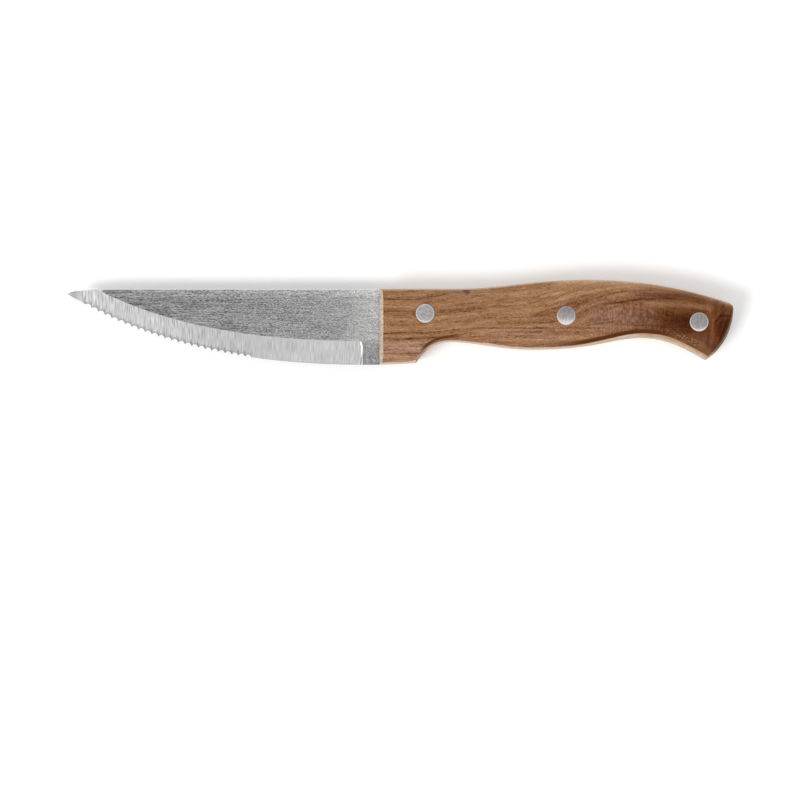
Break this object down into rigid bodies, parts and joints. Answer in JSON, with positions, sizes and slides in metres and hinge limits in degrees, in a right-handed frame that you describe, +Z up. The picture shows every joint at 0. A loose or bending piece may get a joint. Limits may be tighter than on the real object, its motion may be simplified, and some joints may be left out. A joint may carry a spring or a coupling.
{
  "type": "steak knife",
  "caption": "Steak knife with a finely scalloped blade, a full tang, and contoured wooden handle scales held by cutler's rivets.",
  "frame": {"origin": "middle of the bounding box's bottom: the knife lies on its side, on the flat outer face of its lower scale", "axes": "+X from the blade's tip to the butt, +Y from the cutting edge to the spine, +Z up through the thickness, from the lower scale to the upper one"},
  "size_m": [0.2413, 0.0308, 0.017],
  "materials": {
    "blade_steel": "satin, brushed along the cheeks and ground across the bevel",
    "walnut": "oiled, with open grain",
    "rivet_steel": "satin, ground flush with the scales"
  },
  "bodies": {
    "root": {"blade": "blade_steel", "upper_scale": "walnut", "lower_scale": "walnut", "front_rivet_pin": "rivet_steel", "front_rivet_barrel": "rivet_steel", "middle_rivet_pin": "rivet_steel", "middle_rivet_barrel": "rivet_steel", "rear_rivet_pin": "rivet_steel", "rear_rivet_barrel": "rivet_steel"}
  },
  "joints": []
}
